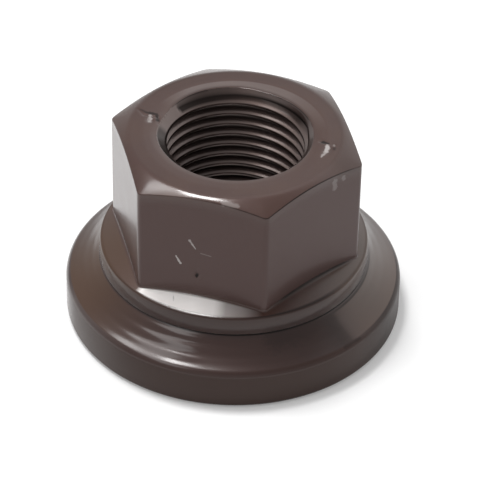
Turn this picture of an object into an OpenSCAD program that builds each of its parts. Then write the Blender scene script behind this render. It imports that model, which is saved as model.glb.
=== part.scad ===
// Flanged wheel nut, forged and turned in one piece: a hexagon that runs out
// into a turned shelf, a short collar and a wide sloping flange with a flat
// bearing face. The origin is the middle of the bearing face and +Z is the
// axis of the thread. All lengths are in millimetres.

/* [Nut] */
// Height from the bearing face to the top face
nut_h = 25.2; // [23:0.1:30]

/* [Thread] */
// Outer (major) diameter of the metric thread
thread_d = 18; // [14:0.5:20]
// Pitch of the thread
thread_pitch = 1.5; // [1:0.25:2]
// How much wider than the thread each lead-in opens
lead_in_clear = 0.4; // [0.2:0.1:1.5]
// Diameter of the shallow dish turned into the top face
dish_d = 22; // [20.9:0.1:24]
// Depth of that dish at the lead-in
dish_depth = 0.2; // [0.1:0.05:1]

/* [Hexagon] */
// Width of the hexagon across its flats
hex_af = 27; // [25:0.5:28]
// Radius of the six upright corners
hex_corner_r = 0.8; // [0.3:0.1:2]
// Diameter of the flat top face inside the corner chamfer
top_face_d = 25.7; // [24.2:0.1:26.5]
// Slope of the corner chamfer from the horizontal, in degrees
chamfer_angle = 25; // [15:1:35]

/* [Collar] */
// Diameter of the collar at its upper edge
collar_d = 32.6; // [32:0.1:34]
// Extra diameter of the collar at its foot
collar_draft = 0.2; // [0:0.1:0.6]
// Height of the collar's upper edge above the bearing face
collar_z = 10; // [9.5:0.1:12]
// Rounding of the collar's upper edge
collar_edge_r = 0.3; // [0.1:0.05:0.8]
// Rise of the shelf from the collar to the hexagon, in degrees
shelf_angle = 18; // [8:1:25]
// Height of the collar's foot above the bearing face
foot_z = 7.55; // [7:0.05:8.4]
// Height of the fine groove at the collar's foot
crease_h = 0.28; // [0.1:0.02:0.5]
// Depth of that groove
crease_depth = 0.22; // [0.1:0.02:0.5]

/* [Flange] */
// Outer diameter of the flange
flange_d = 41; // [39:0.5:46]
// Height at which the upright rim starts to round over
rim_z = 4.25; // [2.5:0.05:4.8]
// Radius of the rim's upper edge
rim_r = 1; // [0.5:0.1:1.5]
// Radius of the edge round the bearing face
bearing_edge_r = 0.7; // [0.3:0.1:1.5]
// Slope of the flange where it leaves the rim, in degrees
rim_slope = 25; // [15:1:35]
// How far the flange's slope hollows below a straight line
slope_sag = 0.2; // [0.05:0.05:0.4]

/* [Hidden] */

// Steps in each rounded edge, each rounded corner and the hollow slope
round_steps = 6;
slope_steps = 10;
// How far a cutting body runs past the face that it cuts
over = 1;
$fn = 96;

flange_r = flange_d / 2;
collar_r = collar_d / 2;
foot_r = collar_r + collar_draft / 2;
apothem = hex_af / 2;
top_face_r = top_face_d / 2;

// A metric thread's crest in the nut is 5/8 of the sharp triangle's height in
// from the major diameter
thread_depth = 5 / 8 * thread_pitch * sqrt(3) / 2;
minor_r = thread_d / 2 - thread_depth;
lead_in_r = (thread_d + lead_in_clear) / 2;
lead_in_h = lead_in_r - minor_r;

// The hexagon starts well inside the flange, and the shelf runs on under it
hex_root_z = foot_z / 2;
shelf_inner_r = apothem - over;

// Points on a circle's arc about [x, z], from angle a to angle b
function arc(x, z, r, a, b, steps) =
    [for (i = [0 : steps]) let (t = a + (b - a) * i / steps) [x + r * cos(t), z + r * sin(t)]];

// Points between p and q on a line that hollows by sag at its middle, ends left out
function hollow(p, q, sag, steps) =
    let (d = q - p, n = [d[1], -d[0]] / norm(d))
    [for (i = [1 : steps - 1]) let (t = i / steps) p + d * t - n * sag * 4 * t * (1 - t)];

// Height of the shelf's cone at radius r
function shelf_z(r) = collar_z + (collar_r - r) * tan(shelf_angle);

// Height of the corner chamfer's cone at radius r
function chamfer_z(r) = nut_h - (r - top_face_r) * tan(chamfer_angle);

rim_end = [
    flange_r - rim_r + rim_r * sin(rim_slope),
    rim_z + rim_r * cos(rim_slope)
];
foot = [foot_r, foot_z];

// The edge arc of the collar touches its upright wall and the shelf
collar_edge_z = collar_z
    - collar_edge_r * (cos(shelf_angle) - (1 - sin(shelf_angle)) * tan(shelf_angle));

// Section of everything turned below the hexagon, from the axis outwards
flange_section = concat(
    [[0, 0]],
    arc(flange_r - bearing_edge_r, bearing_edge_r, bearing_edge_r, -90, 0, round_steps),
    arc(flange_r - rim_r, rim_z, rim_r, 0, 90 - rim_slope, round_steps),
    hollow(rim_end, foot, slope_sag, slope_steps),
    [
        foot,
        [foot_r - crease_depth, foot_z + crease_h / 2],
        [foot_r, foot_z + crease_h]
    ],
    arc(collar_r - collar_edge_r, collar_edge_z, collar_edge_r, 0, 90 - shelf_angle, round_steps),
    [
        [shelf_inner_r, shelf_z(shelf_inner_r)],
        [0, shelf_z(shelf_inner_r)]
    ]
);

// Outline of the hexagon, flats facing +Y and -Y, with its corners rounded
hex_outline = [
    for (k = [0 : 5], i = [0 : round_steps])
        let (
            centre = (apothem - hex_corner_r) / cos(30),
            t = 60 * k - 30 + 60 * i / round_steps
        )
        centre * [cos(60 * k), sin(60 * k)] + hex_corner_r * [cos(t), sin(t)]
];

// Section of the turned body that trims the hexagon's top to the chamfer
chamfer_section = [
    [0, 0],
    [hex_af, 0],
    [hex_af, chamfer_z(hex_af)],
    [top_face_r, nut_h],
    [0, nut_h]
];

module flange_and_collar() {
    rotate_extrude()
        polygon(flange_section);
}

module hexagon() {
    intersection() {
        translate([0, 0, hex_root_z])
            linear_extrude(nut_h - hex_root_z)
                polygon(hex_outline);
        rotate_extrude()
            polygon(chamfer_section);
    }
}

// The bore at the thread's crests, with a lead-in at each end and the top dish
module bore() {
    translate([0, 0, -over])
        cylinder(h = nut_h + 2 * over, r = minor_r);
    translate([0, 0, -over])
        cylinder(h = lead_in_h + over, r1 = lead_in_r + over, r2 = minor_r);
    translate([0, 0, nut_h - dish_depth - lead_in_h])
        cylinder(h = lead_in_h + over, r1 = minor_r, r2 = lead_in_r + over);
    translate([0, 0, nut_h - dish_depth])
        cylinder(h = dish_depth, r1 = lead_in_r, r2 = dish_d / 2);
    translate([0, 0, nut_h])
        cylinder(h = over, r = dish_d / 2);
}

module wheel_nut() {
    color([0.30, 0.26, 0.25])
        difference() {
            union() {
                flange_and_collar();
                hexagon();
            }
            bore();
        }
}

wheel_nut();
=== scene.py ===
# %% [markdown]
# # A flanged wheel nut
# A wheel nut holds a wheel on its hub. This one is forged and turned from one piece of steel: a hexagon
# for the socket, a short collar, and a wide flange that spreads the load on the wheel. A dark phosphate
# finish with a little oil keeps rust off. The solid model brings every main form and size. This file
# gives the nut its fine thread, its softened edges, its turning rings, its finish and its marks of use,
# and then lights it and sets up the camera.

# %% Load the solid model
import math

import bmesh
import bpy
import numpy as np
from mathutils import Matrix, Vector


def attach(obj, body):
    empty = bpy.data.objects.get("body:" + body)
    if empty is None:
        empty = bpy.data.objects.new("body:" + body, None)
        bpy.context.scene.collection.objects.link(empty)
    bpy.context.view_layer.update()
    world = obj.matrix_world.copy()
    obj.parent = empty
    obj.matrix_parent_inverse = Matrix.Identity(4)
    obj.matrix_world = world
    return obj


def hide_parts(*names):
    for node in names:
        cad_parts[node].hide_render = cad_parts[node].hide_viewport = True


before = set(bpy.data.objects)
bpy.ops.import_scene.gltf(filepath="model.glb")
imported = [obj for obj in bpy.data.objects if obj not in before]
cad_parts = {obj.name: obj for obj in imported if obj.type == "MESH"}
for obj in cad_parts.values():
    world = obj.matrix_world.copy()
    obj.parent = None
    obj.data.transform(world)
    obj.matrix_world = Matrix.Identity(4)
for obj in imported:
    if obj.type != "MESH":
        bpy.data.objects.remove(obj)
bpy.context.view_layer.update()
MM = 0.001

# %% [markdown]
# ## The camera
# The nut is seen from about 39 degrees above the table, through a long lens that keeps its upright edges
# almost parallel. A camera in Blender looks along its own -Z, so its turn comes from the direction in
# which it looks, plus a small roll about that direction. The picture is square.

# %% Place the camera
CAMERA_PLACE = Vector((74.242, -258.040, 218.160)) * MM
CAMERA_AIM = Vector((-0.498, 4.475, 5.704)) * MM
CAMERA_ROLL = math.radians(1.180)
LENS_MM = 209.44

camera_data = bpy.data.cameras.new("camera")
camera_data.lens = LENS_MM
camera_data.sensor_width = 36
camera_data.clip_start = 0.01
camera = bpy.data.objects.new("camera", camera_data)
camera_turn = (CAMERA_AIM - CAMERA_PLACE).to_track_quat("-Z", "Y").to_matrix()
camera_turn = camera_turn @ Matrix.Rotation(CAMERA_ROLL, 3, "Z")
camera.matrix_world = Matrix.LocRotScale(CAMERA_PLACE, camera_turn.to_quaternion(), None)
bpy.context.scene.collection.objects.link(camera)
bpy.context.scene.camera = camera
print(f"the camera stands {(CAMERA_AIM - CAMERA_PLACE).length / MM:.0f} mm away")

# %% [markdown]
# ## The nut as one surface
# A nut could be put together from cylinders and cut with Booleans, but its most telling forms are soft:
# each edge is broken by a tenth of a millimetre or so, and the thread winds down the bore as a helix. So
# the whole skin is worked out as one grid of points. Each column of the grid is a direction round the
# axis. Each row is a line round the nut, and the rows run from the bearing face, up the outside, over
# the top and down the bore, back to where they began.

# %% The nut's sizes, in millimetres
NUT_H = 25.2
ACROSS_FLATS, HEX_CORNER_R = 27.0, 0.8
TOP_FACE_R, CHAMFER = 12.85, math.radians(25)
DISH_R, DISH_DEPTH = 11.0, 0.2
COLLAR_R, FOOT_R, COLLAR_Z, COLLAR_EDGE_R = 16.3, 16.4, 10.0, 0.3
SHELF = math.radians(18)
FOOT_Z, CREASE_H, CREASE_DEPTH = 7.55, 0.28, 0.22
FLANGE_R, RIM_Z, RIM_R, BEARING_EDGE_R = 20.5, 4.25, 1.0, 0.7
RIM_SLOPE, SLOPE_SAG = math.radians(25), 0.2
PITCH, MAJOR_R = 1.5, 9.0
MINOR_R = MAJOR_R - 5 / 8 * PITCH * math.sqrt(3) / 2
LEAD_IN_R = 9.2
MOUTH_Z = NUT_H - DISH_DEPTH
APOTHEM = ACROSS_FLATS / 2
print(f"flange {2 * FLANGE_R:.1f} mm across, nut {NUT_H:.1f} mm high")
print(f"thread M{2 * MAJOR_R:.0f} x {PITCH}, {2 * MINOR_R:.2f} mm across its crests")

# %% [markdown]
# ## Columns round the axis
# A round form looks smooth with a column every degree or two, but a hexagon's corner is an arc of only
# three degrees as seen from the axis. The columns therefore stand close together at the six corners, and
# also where two dents lie beside the bore and where one flat has a pit. Directions are in degrees, and
# the corners stand at 0, 60, 120 and so on.

# %% Directions of the columns
CORNER_CENTRE = (APOTHEM - HEX_CORNER_R) / math.cos(math.radians(30))
CORNER_HALF = math.degrees(math.atan2(HEX_CORNER_R / 2,
                                      CORNER_CENTRE + HEX_CORNER_R * math.cos(math.radians(30))))
EVEN_STEP = 1.8
arc_steps = np.linspace(0, CORNER_HALF, 5)
plain_steps = np.array([1.9, 2.5, 3.3, 4.4, 5.8])
dented_steps = np.arange(1.9, 9.2, 0.55)
DENTED_CORNERS = (0, 3)
PIT_X, PIT_Z = -0.59, 13.74
PIT_AT = 270 + math.degrees(math.atan2(PIT_X, APOTHEM))
pit_steps = np.arange(-0.9, 1.0, 0.3)


def half_sector(near):
    """Angles from a corner of the hexagon to the middle of a flat: the corner's arc, then the nearby
    steps, then even steps."""
    rest = np.linspace(near[-1], 30, int(round((30 - near[-1]) / EVEN_STEP)) + 1)[1:]
    return np.concatenate([arc_steps, near, rest])


sectors = []
for k in range(6):
    half = half_sector(dented_steps if k in DENTED_CORNERS else plain_steps)
    sectors.append(60 * k + np.concatenate([-half[:0:-1], half]))
columns = np.unique(np.round(np.concatenate([*sectors, PIT_AT + pit_steps]) % 360, 6))
columns = np.append(columns, 360.0)
THETA = np.radians(columns)
print(len(columns), "columns")

# %% [markdown]
# ## The section
# The section is a chain of points, each a pair of radius and height for every column. Most of it is the
# same all the way round. The hexagon's wall is not: its radius follows the rounded hexagon, and where
# that wall meets the sloping shelf below and the turned chamfer above, the heights follow from it. That
# gives the curved ends of the flats that a lathe leaves on every real nut.


# %% Where the hexagon's wall stands
def hexagon_radius(theta):
    """Distance from the axis to a hexagon with rounded corners. On a flat it is the apothem over the
    cosine of the angle from the flat's middle. Within a corner it is where the direction leaves the
    corner's circle."""
    off = np.abs((np.degrees(theta) + 30) % 60 - 30)
    flat = APOTHEM / np.cos(np.radians(30 - off))
    across = CORNER_CENTRE * np.sin(np.radians(off))
    inside = np.maximum(HEX_CORNER_R ** 2 - across ** 2, 0)
    corner = CORNER_CENTRE * np.cos(np.radians(off)) + np.sqrt(inside)
    return np.where(off < CORNER_HALF, corner, flat)


hex_r = hexagon_radius(THETA)
shelf_z = COLLAR_Z + (COLLAR_R - hex_r) * math.tan(SHELF)
chamfer_z = NUT_H - (hex_r - TOP_FACE_R) * math.tan(CHAMFER)
print(f"hexagon: {2 * hex_r.min():.2f} mm across flats, {2 * hex_r.max():.2f} mm across its rounded corners")
print(f"the middle of a flat runs from {shelf_z.max():.2f} mm up to {chamfer_z.max():.2f} mm")


# %% Rows and the lines between them
def row(r, z):
    """One row or several: a radius and a height in each column. A number counts for every column, an array
    holds one number for each column, and an array of one number below another makes a row of each."""
    return np.stack(np.broadcast_arrays(r, z, THETA)[:2], -1).astype(float)


def toward(a, b):
    """Unit vectors from row a to row b, column by column: their difference over its length."""
    d = b - a
    return d / np.linalg.norm(d, axis=-1, keepdims=True)


def line(a, b, steps, more=()):
    """Rows on the straight line from a to b, both ends left out: a plus a share of b - a, in even steps,
    and more rows at the given shares."""
    t = np.unique(np.append(np.linspace(0, 1, steps + 1)[1:-1], more))[:, None, None]
    return a + (b - a) * t


def soft_corner(before, corner, after, size, steps=3):
    """Rows of a broken edge: the quadratic curve that leaves one side `size` before the corner and joins
    the other side `size` past it."""
    t = np.linspace(0, 1, steps + 1)[:, None, None]
    start = corner + toward(corner, before) * size
    end = corner + toward(corner, after) * size
    return (1 - t) ** 2 * start + 2 * t * (1 - t) * corner + t ** 2 * end


def arc(r, z, radius, a, b, steps):
    """Rows on a circle's arc about (r, z) from angle a to angle b, in degrees: the cosine and the sine
    of each angle, times the circle's radius, go outwards and up."""
    t = np.radians(np.linspace(a, b, steps + 1))[:, None]
    return row(r + radius * np.cos(t), z + radius * np.sin(t))


def smooth(x):
    """Goes from 0 to 1 as x does, with level ends: 3 x squared less 2 x cubed."""
    x = np.clip(x, 0, 1)
    return x * x * (3 - 2 * x)


def by_direction(directions, values):
    """A value for each column, on straight lines between the values given at some directions."""
    return np.interp(columns, directions, values)


print("a row holds", row(COLLAR_R, COLLAR_Z).shape, "numbers: radius and height in each column")

# %% [markdown]
# ## Turning rings on the flange
# A tool that turns a slope leaves rings. They are less than a tenth of a millimetre high, but on a
# glossy slope they split a reflection into bright lines. A bump in the material would be lost in other
# programs, so they are real. Their height is built from its steepness: the rings lift the slope where a
# bright line shall be and drop it between, and adding that steepness up from the rim gives the height.
# They are deepest on the front left, and faint elsewhere.

# %% The hollow slope with its rings
RING_BRIGHT = np.array([16.62, 17.5, 18.65, 19.62])
RING_LIFT = np.array([0.30, 0.25, 0.15, 0.05])
RINGS_ALL_ROUND = 0.18
RINGS_FROM, RINGS_FADE_IN = 232.0, 24.0
RINGS_TO, RINGS_FADE_OUT = 277.0, 5.0
FADE_AT_RIM, FADE_AT_FOOT = 0.08, 0.05
SLOPE_ROWS = 42


def slope_rows():
    """Rows of the flange's slope: a straight line from the rim to the collar's foot, hollowed by a
    parabola, plus the rings. A ring's steepness is a cosine wave whose crests lie on the bright radii."""
    rim_end = np.array([FLANGE_R - RIM_R + RIM_R * math.sin(RIM_SLOPE),
                        RIM_Z + RIM_R * math.cos(RIM_SLOPE)])
    d = np.array([FOOT_R, FOOT_Z]) - rim_end
    normal = np.array([d[1], -d[0]]) / np.linalg.norm(d)
    t = np.linspace(0, 1, SLOPE_ROWS + 1)
    hollow = rim_end + d * t[:, None] - normal * (SLOPE_SAG * 4 * t * (1 - t))[:, None]
    r = hollow[:, 0]
    turns = np.interp(r, RING_BRIGHT, np.arange(len(RING_BRIGHT)))
    lift = np.interp(r, RING_BRIGHT, RING_LIFT)
    fade = np.clip(t / FADE_AT_RIM, 0, 1) * np.clip((1 - t) / FADE_AT_FOOT, 0, 1)
    steep = lift * np.cos(2 * math.pi * turns) * fade
    rise = np.concatenate([[0], np.cumsum((steep[1:] + steep[:-1]) / 2 * np.diff(r))])
    rise -= rise[-1] * t
    print(f"the rings are {(rise.max() - rise.min()) * 1000:.0f} thousandths of a millimetre high")
    here = smooth((columns - RINGS_FROM) / RINGS_FADE_IN) * smooth((RINGS_TO - columns) / RINGS_FADE_OUT)
    depth = RINGS_ALL_ROUND + (1 - RINGS_ALL_ROUND) * here
    return row(r[:, None], hollow[:, 1:] + rise[:, None] * depth)


slope = slope_rows()

# %% [markdown]
# ## The mouth of the bore
# The tap that cuts the thread leaves the last groove open at the mouth. Just there the thin remains of
# the first crest have broken away, which leaves a small blunt step and a slightly wider mouth behind it.
# Both fade out as the groove sinks away from the top. A shallow dish lies round the mouth, with a knee
# where it turns down to the edge. The lower mouth is a plain broken edge, and the rows of the bore end
# where that edge begins, a little above the bearing face.

# %% The mouth's radius, wider where the first crest has broken away
STEP_AT, STEP_WIDE = 157.0, 1.5
BROKEN_FROM, BROKEN_FADE = 20.0, 30.0
MOUTH_AT = [0, 50, 84, 104, 130, 142, 157, 175, 197, 225]
MOUTH_WIDER = [0.0, 0.1, 0.15, 0.48, 0.56, 0.46, 0.2, 0.0, 0.2, 0.0]
KNEE_R, KNEE_Z = 0.65, 25.13
LOW_Z = 0.16

broken = smooth((columns - BROKEN_FROM) / BROKEN_FADE) * smooth((STEP_AT - columns) / STEP_WIDE + 0.5)
mouth_r = LEAD_IN_R + by_direction(MOUTH_AT, MOUTH_WIDER)
knee = row(mouth_r + KNEE_R, KNEE_Z)
mouth = row(mouth_r, MOUTH_Z)
low_mouth = row(LEAD_IN_R, 0)
low_edge = row(LEAD_IN_R - LOW_Z, LOW_Z)
print(f"the mouth's radius is {LEAD_IN_R} mm, and up to {mouth_r.max() - LEAD_IN_R:.2f} mm more")

# %% [markdown]
# ## The outside, from the bearing face to the bore's mouth
# The corners of the section come first. The rows between and round them are laid one part after another,
# and each part keeps its name, so that dirt or wear can be put on it later. Extra rows go to the top
# face, where the two dents need room, and to the hexagon's wall, where the pit is.

# %% The section's corners
bearing_end = row(FLANGE_R - BEARING_EDGE_R, 0)
foot = row(FOOT_R, FOOT_Z)
crease = row(FOOT_R - CREASE_DEPTH, FOOT_Z + CREASE_H / 2)
collar_foot = row(FOOT_R, FOOT_Z + CREASE_H)
collar_edge_z = COLLAR_Z - COLLAR_EDGE_R * (math.cos(SHELF) - (1 - math.sin(SHELF)) * math.tan(SHELF))
collar_edge = arc(COLLAR_R - COLLAR_EDGE_R, collar_edge_z, COLLAR_EDGE_R, 0, 90 - math.degrees(SHELF), 5)
hex_foot = row(hex_r, shelf_z)
hex_top = row(hex_r, chamfer_z)
top_edge = row(TOP_FACE_R, NUT_H)
dish_edge = row(DISH_R, NUT_H)
print(f"the collar's rounded edge ends at {collar_edge[-1, 0, 1]:.2f} mm")

# %% Join the outside rows
EDGE, SOFT_EDGE, LOW_EDGE = 0.12, 0.35, 0.14
CREASE_EDGE, CREASE_ROOT = 0.05, 0.06
DISH_SOFT, KNEE_SOFT = 0.25, 0.3
FOOT_SHARE = 0.025
at_pit = np.argmin(np.abs(columns - PIT_AT))
PIT_SHARE = (PIT_Z - shelf_z[at_pit]) / (chamfer_z[at_pit] - shelf_z[at_pit])
wall_shares = np.append(FOOT_SHARE, PIT_SHARE + np.arange(-0.03, 0.031, 0.006))
dish_soft = soft_corner(top_edge, dish_edge, knee, DISH_SOFT)
knee_soft = soft_corner(dish_edge, knee, mouth, KNEE_SOFT, 4)
parts = {
    "bearing face": np.concatenate([low_edge[None], soft_corner(low_edge, low_mouth, bearing_end, LOW_EDGE),
                                    line(low_mouth, bearing_end, 5)]),
    "bottom edge": arc(FLANGE_R - BEARING_EDGE_R, BEARING_EDGE_R, BEARING_EDGE_R, -90, 0, 7),
    "rim": arc(FLANGE_R - RIM_R, RIM_Z, RIM_R, 0, 90 - math.degrees(RIM_SLOPE), 9)[:-1],
    "slope": slope[:-1],
    "crease": np.concatenate([soft_corner(slope[-2], foot, crease, CREASE_EDGE, 2),
                              soft_corner(foot, crease, collar_foot, CREASE_ROOT, 2),
                              soft_corner(crease, collar_foot, collar_edge[0], CREASE_EDGE, 2)]),
    "collar edge": collar_edge,
    "shelf": line(collar_edge[-1], hex_foot + toward(hex_foot, collar_edge[-1]) * EDGE, 8),
    "hexagon's foot": soft_corner(collar_edge[-1], hex_foot, hex_top, EDGE, 2),
    "flat": line(hex_foot, hex_top, 10, wall_shares),
    "chamfer edge": soft_corner(hex_foot, hex_top, top_edge, EDGE),
    "top edge": soft_corner(hex_top, top_edge, dish_edge, SOFT_EDGE),
    "top face": line(top_edge + toward(top_edge, dish_edge) * SOFT_EDGE, dish_soft[0], 10),
    "dish": np.concatenate([dish_soft, line(dish_soft[-1], knee_soft[0], 4), knee_soft,
                            line(knee_soft[-1], mouth, 4), mouth[None]]),
}
outside = np.concatenate(list(parts.values()))
print(len(outside), "rows outside, in", len(parts), "parts")

# %% [markdown]
# ## The thread
# A metric thread's section is a row of flat-topped ridges with sides at 60 degrees to each other. Wound
# round the axis it climbs one pitch a turn. The rows of the bore follow the helix too: each row keeps
# its place on the ridge and climbs with the angle, so that a ridge's corners stay crisp with few rows.
# At both ends the rows are held at the mouth.

# %% Wind the thread's rows down the bore
ROW_PHASES = np.array([-0.105, 0.105, 0.145, 0.27, 0.42, 0.455, 0.545, 0.58, 0.73, 0.855])
CREST_Z, CREST_Z_AT = 23.62, 103.0
CREST_HALF = 1 / 8
FLANK_RUN = (MAJOR_R - MINOR_R) * math.tan(math.radians(30)) / PITCH


def thread_radius(phase):
    """Radius of the thread where phase 0 is the middle of a crest and 1 the next one: the minor radius
    on the crest, the major radius in the root, and a straight flank between."""
    away = np.abs((phase + 0.5) % 1 - 0.5)
    return MINOR_R + (MAJOR_R - MINOR_R) * np.clip((away - CREST_HALF) / FLANK_RUN, 0, 1)


turn = (columns - CREST_Z_AT) / 360
top_crest = math.ceil((MOUTH_Z - CREST_Z) / PITCH + 0.5)
low_crest = math.floor(-CREST_Z / PITCH - 1)
crests = np.arange(top_crest, low_crest - 1, -1)
places = (crests[:, None] + ROW_PHASES[::-1]).ravel()[:, None] + 0 * columns
rise = CREST_Z + PITCH * (places + turn)
inside = ((rise > LOW_Z) & (rise < MOUTH_Z)).any(axis=1)
places, rise = places[inside], rise[inside]
bore_z = np.clip(rise, LOW_Z, MOUTH_Z)
groove = np.floor(places)
grooved = columns + 360 * groove < STEP_AT
print(f"{len(places)} rows in the bore, which climb {PITCH} mm a turn")

# %% [markdown]
# ## Lead-ins
# At each end a cone opens the bore, so that the stud finds its way in, and the thread runs out in it.
# The radius is the thread's or the cone's, whichever is wider. Above the groove that opens at the step,
# the cone gives way to a steeper wall from the groove's root to the mouth, and the crest below stands
# free.

# %% Cut the lead-ins and the broken mouth
CREST_FREE = 1.2
LEAST_DROP = 0.01
TOUCHING = 1e-6
at_mouth, at_low_edge = bore_z > MOUTH_Z - TOUCHING, bore_z < LOW_Z + TOUCHING
cone = mouth_r - (MOUTH_Z - bore_z) * (mouth_r - MINOR_R) / (LEAD_IN_R - MINOR_R)
root_z = CREST_Z + PITCH * (0.5 + turn)
steep_wall = MAJOR_R + (mouth_r - MAJOR_R) * (bore_z - root_z) / np.maximum(MOUTH_Z - root_z, LEAST_DROP)
opened = broken * (places >= 0.5)
bore_r = np.where(grooved, thread_radius(places), MINOR_R)
bore_r = np.maximum(bore_r, np.where(opened > 0, cone * (1 - opened) + steep_wall * opened,
                                     cone - CREST_FREE * broken))
bore_r = np.maximum(bore_r, mouth_r * at_mouth)
bore_r = np.maximum(bore_r, LEAD_IN_R - bore_z)
section = np.concatenate([outside, np.stack([bore_r, bore_z], -1), low_edge[None]])
radius, height = section[..., 0], section[..., 1]
part_of_row = np.repeat([*parts, "bore"], [*(len(rows) for rows in parts.values()), len(bore_r) + 1])
print("the section has", len(section), "rows")

# %% [markdown]
# ## Dents, grooves and a pit
# Two small dents lie beside the bore, where something hard has struck the top, with fine grooves next to
# them, and one flat has a pit. Each dent presses the skin in by a bell curve, deepest in its middle. A
# groove does the same across a line. The points that lie close by move, and all others stay.

# %% Press them in
TOP_DENTS = [
    # middle x, middle y, half length, half width, direction in degrees, depth
    (-10.52, -0.52, 0.34, 0.26, 105, 0.17),
    (11.22, -0.10, 0.62, 0.24, 80, 0.15),
    (11.62, 1.15, 0.16, 0.16, 0, 0.06),
]
TOP_GROOVES = [
    # from x, from y, to x, to y, half width, depth
    (-12.63, 1.14, -11.50, 0.20, 0.13, 0.035),
    (-11.50, 0.20, -9.79, 0.32, 0.15, 0.06),
    (-9.79, 0.32, -9.30, -0.81, 0.14, 0.05),
    (9.89, 1.56, 10.56, 1.35, 0.16, 0.07),
]
PIT_HALF_W, PIT_HALF_H, PIT_DEPTH = 0.17, 0.221, 0.16
FRONT_FLAT_DEPTH = 0.9
TOP_REACH, MOUTH_REACH = 0.6, 0.1

x, y, z = radius * np.cos(THETA), radius * np.sin(THETA), height.copy()
on_top = (height > NUT_H - TOP_REACH) & (radius > LEAD_IN_R - MOUTH_REACH)


def line_distance(ax, ay, bx, by):
    """Distance from the skin's points to the line from a to b, seen from above: the nearest place along
    the line is found first."""
    t = np.clip(((x - ax) * (bx - ax) + (y - ay) * (by - ay)) / ((bx - ax) ** 2 + (by - ay) ** 2), 0, 1)
    return np.hypot(x - ax - t * (bx - ax), y - ay - t * (by - ay))


for cx, cy, half_length, half_width, direction, depth in TOP_DENTS:
    a = math.radians(direction)
    along = (x - cx) * math.cos(a) + (y - cy) * math.sin(a)
    across = (y - cy) * math.cos(a) - (x - cx) * math.sin(a)
    z -= depth * on_top * np.exp(-0.5 * ((along / half_length) ** 2 + (across / half_width) ** 2))
for ax, ay, bx, by, half_width, depth in TOP_GROOVES:
    z -= depth * on_top * np.exp(-0.5 * (line_distance(ax, ay, bx, by) / half_width) ** 2)
on_front_flat = (part_of_row == "flat")[:, None] & (y < FRONT_FLAT_DEPTH - APOTHEM)
pit = np.exp(-0.5 * (((x - PIT_X) / PIT_HALF_W) ** 2 + ((z - PIT_Z) / PIT_HALF_H) ** 2))
y += PIT_DEPTH * pit * on_front_flat
print(f"the deepest dent is {(height - z).max():.2f} mm deep")

# %% [markdown]
# ## Painted shade
# Shade is painted as a darker colour in narrow places: in the thread's roots, under the chamfer's edge,
# at the hexagon's foot, in the crease below the collar and on the rim where it sits low by the floor. It
# also dims bright lines at the mouth and on the first crest's flank, and paints a dark reflection on the
# slope in front. Each line has a strength that changes with the direction. A number at every point, 0 for
# none and 1 for black, tells the finish where to darken. The thread is oily on its left, which darkens it
# too, and the flank of its broken first crest has the darkest painted shade.


# %% Lay painted shade on the rows
def rows_of(*names):
    """The numbers of all rows that belong to the named parts."""
    return np.flatnonzero(np.isin(part_of_row, names))


# painted shade that dims the highlight along the mouth's edge at the back
MOUTH_EDGE_SHADE = by_direction([20, 40, 155, 165], [0.3, 0.97, 0.97, 0.3])
LOW_EDGE_DIRT = 0.3
# painted shade in the lead-in cones, mostly at the back left and on the left
LEAD_IN_SHADE = by_direction([0, 30, 60, 79, 95, 112, 156, 158, 182, 190, 230, 250],
                            [0.0, 0.1, 0.0, 0.05, 0.4, 0.62, 0.66, 0.15, 0.15, 0.8, 0.8, 0.0])
# painted shade at the hexagon's foot, on the right and front right
FOOT_SHADE = by_direction([0, 3, 28, 34, 302, 312, 350, 358], [0.0, 0.8, 0.8, 0.0, 0.0, 1.0, 0.9, 0.0])
SHADE_AND_DIRT_LINES = [
    # rows, and how dark they are painted in each column
    # painted shade on the bottom edge and the rim on the right, where they sit low by the floor
    (rows_of("bottom edge", "rim"), by_direction([0, 20, 40, 335, 352], [0.5, 0.5, 0.0, 0.0, 0.5])),
    # a painted dark reflection on the slope at the front right
    (rows_of("slope"), by_direction([308, 322, 329, 331.5, 334], [0.0, 0.22, 0.5, 0.5, 0.0])),
    # painted shade where the slope meets the crease, on the right
    (rows_of("slope")[-3:], by_direction([0, 12, 25, 320, 340, 360], [0.7, 0.6, 0.0, 0.0, 0.7, 0.7])),
    # painted shade in the crease below the collar, strongest in front and on the right
    (rows_of("crease")[2:-2], by_direction([0, 40, 200, 250, 290, 360], [0.9, 0.5, 0.1, 0.6, 0.9, 0.9])),
    # painted shade on the collar's edge at the front right
    (rows_of("collar edge")[-2:], by_direction([290, 298, 328, 338], [0.0, 0.6, 0.6, 0.0])),
    # painted shade at the hexagon's foot
    (rows_of("hexagon's foot")[1:], FOOT_SHADE),
    (rows_of("hexagon's foot")[:1], 0.6 * FOOT_SHADE),
    # painted shade along the chamfer's lower edge, in front and on the right
    (rows_of("chamfer edge")[1:-1], by_direction([264, 290, 320, 352, 357], [0.0, 0.6, 1.0, 0.6, 0.0])),
    # the top face is darker at the back and a little on the right
    (rows_of("top face"), by_direction([0, 60, 85, 130, 165, 320, 360],
                                       [0.05, 0.06, 0.12, 0.12, 0.0, 0.0, 0.05])),
    # painted shade that dims bright lines on the dish by the mouth and on the mouth's edge, at the back
    (rows_of("dish")[-5:-1], by_direction([20, 40, 155, 165], [0.0, 0.25, 0.25, 0.0])),
    (rows_of("dish")[-1:], MOUTH_EDGE_SHADE),
    ([0, -1], LOW_EDGE_DIRT),
]
shade_and_dirt = np.zeros_like(radius)
for rows, strength in SHADE_AND_DIRT_LINES:
    shade_and_dirt[rows] = np.maximum(shade_and_dirt[rows], strength)
print(len(SHADE_AND_DIRT_LINES), "lines of dirt outside the bore")

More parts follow.
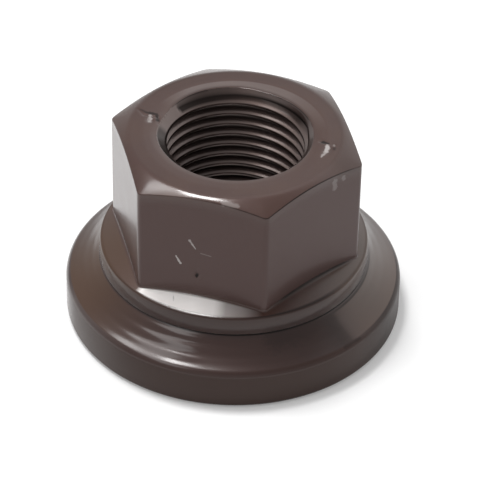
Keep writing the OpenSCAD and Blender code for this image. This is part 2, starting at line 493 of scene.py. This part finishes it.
# %% Lay painted shade and oil in the bore, where a place on the thread is told by its phase
# Painted shade darkens the thread's roots and the flank of the broken first crest; oil darkens the left
# side.
ROOT_SHADE, LESS_WHERE_OILY, OIL_DARKENS, FLANK_SHADE = 0.70, 0.2, 0.35, 0.97
ROOT_HALF, ROOT_FADE = 0.05, 0.2
FLANK_FROM, FLANK_TO, FLANK_FADE = 0.11, 0.62, 0.1

oily = by_direction([95, 125, 200, 240], [0.0, 0.8, 0.8, 0.0])
in_root = 1 - smooth((np.abs((places - groove) - 0.5) - ROOT_HALF) / ROOT_FADE)
in_lead_in = (cone > MINOR_R) * (1 - broken) + opened > 0.5
first_flank = (broken * smooth((places - FLANK_FROM) / FLANK_FADE)
               * smooth((FLANK_TO - places) / FLANK_FADE))
thread_shade_and_oil = (ROOT_SHADE - LESS_WHERE_OILY * oily) * in_root * grooved + OIL_DARKENS * oily
bore_shade_and_oil = np.maximum(thread_shade_and_oil, in_lead_in * LEAD_IN_SHADE)
bore_shade_and_oil = np.maximum(bore_shade_and_oil, FLANK_SHADE * first_flank)
bore_shade_and_oil = np.where(at_mouth, MOUTH_EDGE_SHADE, bore_shade_and_oil)
shade_and_dirt[len(outside):-1] = np.where(at_low_edge, LOW_EDGE_DIRT, bore_shade_and_oil)
print(f"{np.mean(shade_and_dirt > 0.5):.0%} of the points are more dirty than clean")

# %% [markdown]
# ## Painted highlights, painted shade, dry and stained places
# Six more numbers at every point say what the skin is like. A painted highlight, pale as bare steel, lies
# on the shelf in front, with a faint painted sheen at the back of the dish and on the left of the rim. The
# lathe's surfaces are painted darker as shade. The rim and the collar are dry, so they shine less. The
# flats are dry too and have a paler tone of their own, most of all in front. A brown stain lies on the
# left and right of the flange, and the cut thread is marked so that it can be given its own metal.

# %% Say what each place is like
shelf_rows, rim_rows = rows_of("shelf"), rows_of("rim")
# a painted highlight on the shelf in front, pale as bare steel, strongest towards the hexagon
highlit_here = by_direction([240, 242.5, 268, 274, 278, 283, 291, 299],
                           [0.0, 1.0, 1.0, 0.92, 0.88, 0.37, 0.24, 0.0])
highlit = np.zeros_like(radius)
highlit[shelf_rows] = np.linspace(0.70, 1.0, len(shelf_rows))[:, None] * highlit_here
# a faint painted sheen on the dish at the back
highlit[rows_of("dish")[3:-3]] = by_direction([20, 70, 140, 165], [0.0, 0.055, 0.055, 0.0])
# a faint painted reflection on the rim at the left
highlit[rows_of("bottom edge", "rim")] = by_direction([205, 215, 230, 250], [0.0, 0.04, 0.03, 0.0])

on_chamfer = np.isin(part_of_row, ["chamfer edge", "top edge"])[:, None]
dry = np.zeros_like(radius)
dry[rows_of("bottom edge")] = 1
dry[rim_rows] = np.maximum(np.interp(np.arange(len(rim_rows)), [1, 3], [1, 0.2])[:, None],
                           by_direction([0, 20, 50, 290, 320, 360], [0.6, 0.6, 0.2, 0.2, 0.6, 0.6]))
dry *= by_direction([178, 190, 204, 218], [1.0, 0.35, 0.35, 1.0])
dry[rows_of("slope")] = by_direction([175, 190, 225, 240], [0.0, 0.3, 0.3, 0.0])
dry[rows_of("collar edge")] = 0.6
dry = np.maximum(dry, on_chamfer * by_direction([150, 170, 340, 352], [0.4, 0.0, 0.0, 0.4]))

wall = (part_of_row == "flat")[:, None] * by_direction([239, 241], [0.42, 1.0])
wall = np.maximum(wall, on_chamfer * by_direction([280, 292, 318, 335], [0.0, 0.4, 0.4, 0.0]))
STAIN_LEFT, STAIN_SPREAD = 207, 30
stained_left = np.exp(-((columns - STAIN_LEFT) / STAIN_SPREAD) ** 2)
stained_right = by_direction([0, 20, 50, 328, 342, 360], [0.8, 0.65, 0.0, 0.0, 0.65, 0.8])
stain = np.isin(part_of_row, ["slope", "shelf", "collar edge"])[:, None] * (stained_left + stained_right)
# the lathe's surfaces, which the finish paints darker as shade
on_lathe = np.isin(part_of_row, ["bottom edge", "rim", "slope", "crease", "collar edge"])[:, None]
turned = on_lathe + 0 * columns
cut = (part_of_row == "bore")[:, None] * (height > LOW_Z + TOUCHING)
print(f"steel is bare on {np.mean(highlit > 0.5):.1%} of the points")

# %% [markdown]
# ## From rows to a mesh
# The rows become points, and each set of four neighbours a face. The last column lies one full turn past
# the first, in the same places, so merging points that coincide closes the seam, also along the helix.
# Rows that are held at a mouth lie on top of each other and merge too.

# %% Build the mesh
row_count, column_count = radius.shape
i, j = np.meshgrid(np.arange(row_count - 1), np.arange(column_count - 1), indexing="ij")
first = i * column_count + j
faces = np.stack([first, first + 1, first + column_count + 1, first + column_count], -1).reshape(-1, 4)
points = np.stack([x, y, z], -1).reshape(-1, 3) * MM
mesh = bpy.data.meshes.new("nut_skin")
mesh.from_pydata(points, [], faces)
for name, values in (("mark", shade_and_dirt), ("highlit", highlit), ("turned", turned), ("cut", cut),
                     ("stain", stain), ("dry", dry), ("wall", wall)):
    mesh.attributes.new(name, "FLOAT", "POINT").data.foreach_set("value", values.astype(np.float32).ravel())
nut = bpy.data.objects.new("nut_skin", mesh)
bpy.context.scene.collection.objects.link(nut)
print(len(points), "points before merging")

# %% Merge the doubles and turn every face outwards
MERGE_WITHIN, NO_AREA_WITHIN = 2e-7, 1e-7
skin = bmesh.new()
skin.from_mesh(mesh)
bmesh.ops.remove_doubles(skin, verts=skin.verts, dist=MERGE_WITHIN)
bmesh.ops.dissolve_degenerate(skin, edges=skin.edges, dist=NO_AREA_WITHIN)
bmesh.ops.recalc_face_normals(skin, faces=skin.faces)
open_edges = sum(1 for e in skin.edges if len(e.link_faces) != 2)
volume = skin.calc_volume(signed=True)
skin.to_mesh(mesh)
skin.free()
mesh.polygons.foreach_set("use_smooth", np.ones(len(mesh.polygons), bool))
mesh.update()
triangles = sum(len(p.vertices) - 2 for p in mesh.polygons)
print(f"{len(mesh.vertices)} points, {triangles} triangles, {open_edges} open edges, {volume * 1e9:.0f} mm3")

# %% [markdown]
# ## Shader sums in plain Python
# A finish is a sum of patterns. Wrapping a shader socket in a small class lets Python's own operators
# write those sums, and each operator adds the Math node that does the work.


# %% A socket that can be added and multiplied
class Wire:
    """A shader socket. The operators + - * / add Math nodes, and node() adds any other node."""

    def __init__(self, tree, socket=None):
        self.tree, self.socket = tree, socket

    def node(self, kind, settings=None, inputs=None, output=0):
        """Adds a node: its settings first, then a value or a link for each named or numbered socket."""
        made = self.tree.nodes.new(kind)
        for name, value in (settings or {}).items():
            setattr(made, name, value)
        for name, value in (inputs or {}).items():
            if isinstance(value, Wire):
                self.tree.links.new(value.socket, made.inputs[name])
            else:
                made.inputs[name].default_value = value
        return Wire(self.tree, made.outputs[output] if made.outputs else None)

    def math(self, operation, *others):
        return self.node("ShaderNodeMath", {"operation": operation}, dict(enumerate((self, *others))))

    def vector(self, operation, *others, output="Vector"):
        return self.node("ShaderNodeVectorMath", {"operation": operation},
                         dict(enumerate((self, *others))), output)

    def __add__(self, other):
        return self.math("ADD", other)

    def __sub__(self, other):
        return self.math("SUBTRACT", other)

    def __rsub__(self, other):
        return self.node("ShaderNodeMath", {"operation": "SUBTRACT"}, {0: other, 1: self})

    def __mul__(self, other):
        return self.math("MULTIPLY", other)

    def __truediv__(self, other):
        return self.math("DIVIDE", other)

    __radd__, __rmul__ = __add__, __mul__

    def between(self, low, high):
        """0 below low, 1 above high, and a smooth rise between."""
        return self.node("ShaderNodeMapRange", {"interpolation_type": "SMOOTHSTEP"},
                         {"Value": self, "From Min": low, "From Max": high})

    def mix(self, first, second):
        """Colours first and second, mixed by this socket."""
        return self.node("ShaderNodeMix", {"data_type": "RGBA"}, {0: self, 6: first, 7: second}, output=2)


def new_material(name):
    """An empty node material, and a wire to build it from."""
    material = bpy.data.materials.new(name)
    material.use_nodes = True
    material.node_tree.nodes.clear()
    return material, Wire(material.node_tree)


finish, start = new_material("phosphated_steel")
print("new finish:", finish.name)

# %% [markdown]
# ## Scratches and rubs
# ## Scratches, rubs and painted light
# Small marks are put where they lie on the nut, as short lines in space. A mark is strong where the
# distance from the surface to its line is small. An image could hold them too, but it would need a map
# of the whole skin, and lines stay sharp at any size. Light marks are scratches and rubs of bare steel
# and painted highlights. Dark marks darken grooves, a pit and a hairline, and paint a dark reflection on
# the flange's slope.

# %% Patterns, and a mark along a line
place = start.node("ShaderNodeTexCoord", output="Object")


def noise(scale, detail):
    """Soft noise on the object's own coordinates; `scale` is how many lumps fit in a metre."""
    return start.node("ShaderNodeTexNoise", None, {"Vector": place, "Scale": scale, "Detail": detail})


clouds = noise(260, 3)
grain = noise(5200, 2)
specks = noise(2600, 1)
RAGGED, SOLID_CORE = 1.2, 0.35


def near_line(a, b, half, end_half=None):
    """1 along the line from a to b, and 0 beyond `half` from it, which may change to `end_half` towards
    b: the distance from a point to the nearest place on the line, over that half width, with a little
    noise added so that the mark has a ragged edge. Lengths are in millimetres."""
    a, b = Vector(a) * MM, Vector(b) * MM
    off = place.vector("SUBTRACT", tuple(a))
    share = off.vector("DOT_PRODUCT", tuple((b - a) / (b - a).length_squared), output="Value")
    share = share.math("MAXIMUM", 0.0).math("MINIMUM", 1.0)
    nearest = start.node("ShaderNodeVectorMath", {"operation": "SCALE"}, {0: tuple(b - a), "Scale": share})
    gap = off.vector("SUBTRACT", nearest).vector("LENGTH", output="Value")
    reach = (half + share * ((end_half or half) - half)) * MM
    return 1.0 - (gap / reach + RAGGED * (specks - 0.5)).between(SOLID_CORE, 1.0)


def strongest(marks):
    """The strongest of several marks, each with its strength, its two ends and its half widths."""
    total = near_line(*marks[0][1:]) * marks[0][0]
    for strength, *where in marks[1:]:
        total = total.math("MAXIMUM", near_line(*where) * strength)
    return total


print("three patterns: clouds, grain and specks")

# %% Where the marks lie
TOP = NUT_H - 0.08
LIGHT_MARKS = [
    # strength, from, to, half width, half width at its end: painted highlights by the dents
    (0.21, (-10.74, 0.25, TOP), (-10.44, -0.72, TOP), 0.36),
    (0.33, (11.03, 0.72, TOP), (11.14, -0.16, TOP), 0.42, 0.38),
    (0.22, (11.14, -0.16, TOP), (10.90, -1.55, TOP), 0.36, 0.16),
    (0.12, (11.67, 1.24, TOP), (11.75, 1.10, TOP), 0.22),
    # a painted highlight on the chamfer, where the lamp's streak ends
    (0.10, (2.6, -13.2, 24.95), (4.0, -13.15, 24.82), 0.55, 0.45),
    # scratches on the front flat
    (0.24, (-1.48, -13.5, 18.73), (-1.12, -13.5, 18.2), 0.20, 0.15),
    (0.28, (-1.12, -13.5, 18.2), (-0.74, -13.5, 17.65), 0.14, 0.09),
    (0.34, (-3.10, -13.5, 16.05), (-2.60, -13.5, 15.12), 0.13, 0.19),
    (0.07, (-0.07, -13.5, 17.14), (1.15, -13.5, 16.99), 0.10),
    # a rub on the flat to the right of it
    (0.10, (13.27, -4.02, 23.9), (13.30, -3.96, 22.9), 0.50),
    (0.08, (13.98, -2.78, 23.9), (14.0, -2.75, 23.6), 0.42),
]
DARK_MARKS = [
    # grooves by the dents
    (0.65, (-12.20, 1.11, TOP), (-11.32, 0.75, TOP), 0.18, 0.30),
    (0.85, (-11.32, 0.75, TOP), (-10.17, 0.77, TOP), 0.32),
    (0.85, (-10.17, 0.77, TOP), (-9.55, -0.25, TOP), 0.30, 0.34),
    (0.95, (10.24, 1.42, TOP), (11.0, 1.34, TOP), 0.34, 0.18),
    (0.60, (11.92, 0.60, TOP), (11.98, 0.35, TOP), 0.30),
    # the pit, and a hairline across the painted highlight on the shelf
    (1.0, (PIT_X - 0.03, -13.45, PIT_Z - 0.12), (PIT_X + 0.06, -13.45, PIT_Z + 0.12), 0.26, 0.30),
    (0.35, (-3.38, -13.62, 10.55), (-2.98, -14.87, 10.45), 0.12),
    # a painted dark reflection on the flange's slope and rim fillet, front right
    (0.30, (9.5, -13.9, 7.2), (13.3, -10.4, 7.1), 2.3, 1.9),
    (0.45, (16.99, -10.57, 5.1), (18.29, -8.48, 5.0), 0.5, 0.25),
]
print(len(LIGHT_MARKS), "light marks,", len(DARK_MARKS), "dark marks")

# %% [markdown]
# ## The phosphate finish
# Phosphate grows as fine dark crystals on the steel, and oil fills them. A plain dark metal would mirror
# the whole room and lose the brown, and a plain dark paint would have no depth. So the finish has two
# layers, as the real one does: a matt brown base that is only a little metallic, and over it a clear
# glossy coat for the oil, which shines without a colour. Where the nut is dry the coat is weak. The
# thread is true metal, because the tap's cut is thinly covered. Faint clouds of brown, a few pale specks
# and a very fine grain keep the surface from looking like plastic.

# %% Tones of the skin, as colours in linear light
# LATHE_SHADE is painted shade, STEEL_AND_HIGHLIGHT is bare steel and painted highlight, SHADE_AND_DIRT is
# painted shade and dirt
DARK, BROWN, PALE = (0.045, 0.017, 0.012, 1), (0.050, 0.020, 0.013, 1), (0.058, 0.036, 0.030, 1)
LATHE_SHADE, RIM, WALL = (0.028, 0.010, 0.0075, 1), (0.036, 0.0185, 0.014, 1), (0.082, 0.0515, 0.0475, 1)
THREAD, STAIN = (0.155, 0.112, 0.101, 1), (0.064, 0.029, 0.013, 1)
STEEL_AND_HIGHLIGHT, SHADE_AND_DIRT = (0.95, 0.92, 0.90, 1), (0.012, 0.008, 0.007, 1)

shaded_and_dirty, rubbed_and_highlit, lathe_shaded, thread, stained, dry_rim, dry_wall = (
    start.node("ShaderNodeAttribute", {"attribute_name": name}, output="Fac")
    for name in ("mark", "highlit", "turned", "cut", "stain", "dry", "wall"))
# painted highlights together with real rubs and scratches
rubbed_and_highlit = (rubbed_and_highlit * (0.88 + 0.24 * clouds)).math("MAXIMUM", strongest(LIGHT_MARKS))
shaded_and_dirty = shaded_and_dirty.math("MAXIMUM", strongest(DARK_MARKS))
# Each layer covers the tone so far, by the number in front of its mix
tone = clouds.between(0.35, 0.7).mix(DARK, BROWN)
tone = (specks.between(0.55, 0.75) * 0.15).mix(tone, PALE)
# painted shade darkens the lathe's surfaces
tone = (lathe_shaded * 0.9).mix(tone, LATHE_SHADE)
tone = dry_rim.mix(tone, RIM)
tone = (dry_wall * 0.85).mix(tone, WALL)
tone = thread.mix(tone, THREAD)
tone = (stained * 0.85).mix(tone, STAIN)
# rubs, scratches and painted highlights take the pale colour of bare steel
tone = rubbed_and_highlit.math("MINIMUM", 1.0).mix(tone, STEEL_AND_HIGHLIGHT)
# painted shade, dirt and the dark marks darken the tone last
tone = shaded_and_dirty.mix(tone, SHADE_AND_DIRT)
print("the tone has", sum(n.type == "MIX" for n in finish.node_tree.nodes), "layers")

# %% Base, oil film and grain
# Painted shade and dirt, rubs and painted highlights, and dry places each take away their share of the oil
oil = (1.0 - 0.85 * shaded_and_dirty) * (1.0 - 0.85 * rubbed_and_highlit) * (1.0 - 0.75 * dry_rim) * (1.0 - 0.8 * dry_wall)
bump = start.node("ShaderNodeBump", None, {"Strength": 0.03, "Distance": 0.00003, "Height": grain})
shader = start.node("ShaderNodeBsdfPrincipled", None, {
    "Base Color": tone,
    "Metallic": 0.15 + 0.85 * thread,
    "Roughness": 0.32 + 0.10 * clouds + 0.03 * specks + 0.3 * rubbed_and_highlit + 0.1 * dry_rim,
    "Specular IOR Level": 0.15,
    "Normal": bump,
    "Coat Weight": oil,
    "Coat Roughness": 0.16,
    "Coat IOR": 1.5,
})
start.node("ShaderNodeOutputMaterial", None, {"Surface": shader})
mesh.materials.append(finish)

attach(nut, "root")
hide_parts("wheel_nut")
print(len(finish.node_tree.nodes), "nodes in the finish")

# %% [markdown]
# ## The floor
# A plain pale floor carries the nut. It is wide enough that its edge never shows, and lies a hair below
# the bearing face, so that the two faces don't flicker through each other. It glows a little to look
# paler, but only for rays from the camera and for those that a shiny or clear surface sends on, so its
# mirror image is as pale as itself and matt places get no more light. The nut's shadow still shows.

# %% Lay the floor
FLOOR_R, FLOOR_Z, FLOOR_SIDES = 3.0, -0.02 * MM, 96
FLOOR_GREY = (0.76, 0.76, 0.76, 1)
FLOOR_GLOW = 0.17
around = np.linspace(0, 2 * math.pi, FLOOR_SIDES + 1)[:-1]
edge = np.stack([FLOOR_R * np.cos(around), FLOOR_R * np.sin(around), 0 * around + FLOOR_Z], -1)
floor_mesh = bpy.data.meshes.new("floor")
floor_mesh.from_pydata(edge, [], [list(range(FLOOR_SIDES))])
floor = bpy.data.objects.new("floor", floor_mesh)
bpy.context.scene.collection.objects.link(floor)

floor_finish, start = new_material("pale_floor")
camera_ray, glossy_ray, clear_ray = (start.node("ShaderNodeLightPath", output=name) for name in
                                     ("Is Camera Ray", "Is Glossy Ray", "Is Transmission Ray"))
seen = (camera_ray + glossy_ray + clear_ray).math("MINIMUM", 1.0)
surface = start.node("ShaderNodeBsdfPrincipled", None, {
    "Base Color": FLOOR_GREY, "Roughness": 0.9, "Specular IOR Level": 0.0})
glow = start.node("ShaderNodeEmission", None, {"Color": (1, 1, 1, 1), "Strength": seen * FLOOR_GLOW})
both = start.node("ShaderNodeAddShader", None, {0: surface, 1: glow})
start.node("ShaderNodeOutputMaterial", None, {"Surface": both})
floor_mesh.materials.append(floor_finish)
print(f"the floor is {2 * FLOOR_R:.0f} m wide")

# %% [markdown]
# ## The room
# A glossy nut shows what stands round it. An even white room would turn all of it grey, so the room is
# light grey with three patches. A darker one overhead keeps the front chamfers deep, a brighter one at
# the back right shines in the faces that slope to the right, and a small bright one high at the back
# shines in the far side of the dish. A patch is a cone about a direction: the dot product with that
# direction says how near a ray is to its middle.

# %% Paint the room, as directions seen from the camera
FRONT_TURN = math.radians(16.051)
ROOM, DARK_ROOM = 0.60, 0.42
BRIGHT_MORE, BACK_MORE = 0.60, 0.35
DARK_TOWARDS, BRIGHT_TOWARDS, BACK_TOWARDS = (0.17, -0.25, 0.95), (0.65, 0.6, 0.45), (0.0, 0.60, 0.80)
DARK_EDGE, BRIGHT_EDGE, BACK_EDGE = (0.74, 0.79), (0.68, 0.95), (0.978, 0.995)


def as_seen(direction):
    """A direction given as right, away and up from the camera, turned into the scene's own axes: a turn
    about the upright axis by the camera's angle from the front."""
    c, s = math.cos(FRONT_TURN), math.sin(FRONT_TURN)
    return (Vector((c, s, 0)) * direction[0] + Vector((-s, c, 0)) * direction[1]
            + Vector((0, 0, direction[2]))).normalized()


world = bpy.data.worlds.new("room")
bpy.context.scene.world = world
world.use_nodes = True
world.node_tree.nodes.clear()
look = Wire(world.node_tree).node("ShaderNodeTexCoord", output="Generated")
near_dark, near_bright, near_back = (look.vector("DOT_PRODUCT", tuple(as_seen(way)), output="Value")
                                     for way in (DARK_TOWARDS, BRIGHT_TOWARDS, BACK_TOWARDS))
level = (ROOM + (DARK_ROOM - ROOM) * near_dark.between(*DARK_EDGE)
         + BRIGHT_MORE * near_bright.between(*BRIGHT_EDGE) + BACK_MORE * near_back.between(*BACK_EDGE))
back = look.node("ShaderNodeBackground", None, {"Color": (1, 1, 1, 1), "Strength": level})
look.node("ShaderNodeOutputWorld", None, {"Surface": back})
print(f"room {ROOM}, dark patch {DARK_ROOM}, bright wall {ROOM + BRIGHT_MORE}")

# %% [markdown]
# ## The lamps
# Three soft lamps do the rest. One nearly overhead draws the bright streak along the front chamfer, and
# two on the left light that side and draw the lines of the turning rings. Each faces the nut from half
# a metre away.

# %% Hang the lamps
LIGHT_AWAY = 0.5
WATTS_PER_BRIGHTNESS = 4


def soft_light(name, direction, size, brightness):
    """A soft lamp that faces the nut. `direction` is as seen from the camera: to the right, away, up.
    Brightness is what a mirror would show of it, where 1 is white: its watts are four times the
    brightness times its area."""
    to_right, towards = as_seen((1, 0, 0)), as_seen(direction)
    across = (to_right - towards * to_right.dot(towards)).normalized()
    data = bpy.data.lights.new(name, "AREA")
    data.shape, data.size, data.size_y = "RECTANGLE", size[0], size[1]
    data.energy = brightness * WATTS_PER_BRIGHTNESS * size[0] * size[1]
    lamp = bpy.data.objects.new(name, data)
    lamp_axes = Matrix((across, towards.cross(across), towards)).transposed()
    lamp.matrix_world = Matrix.Translation(towards * LIGHT_AWAY) @ lamp_axes.to_4x4()
    bpy.context.scene.collection.objects.link(lamp)
    print(f"{name}: {data.energy:.2f} W")


soft_light("overhead", (-0.20, 0.17, 0.965), (0.12, 0.13), 24.0)
soft_light("left_key", (-0.45, 0.24, 0.86), (0.09, 0.09), 4.0)
soft_light("left_bank", (-0.46, -0.08, 0.88), (0.13, 0.45), 2.0)

# %% [markdown]
# ## Finish
# The view transform stays plain, so that a colour renders about as it is written.

# %% Colours and the end
bpy.context.scene.view_settings.view_transform = "Standard"
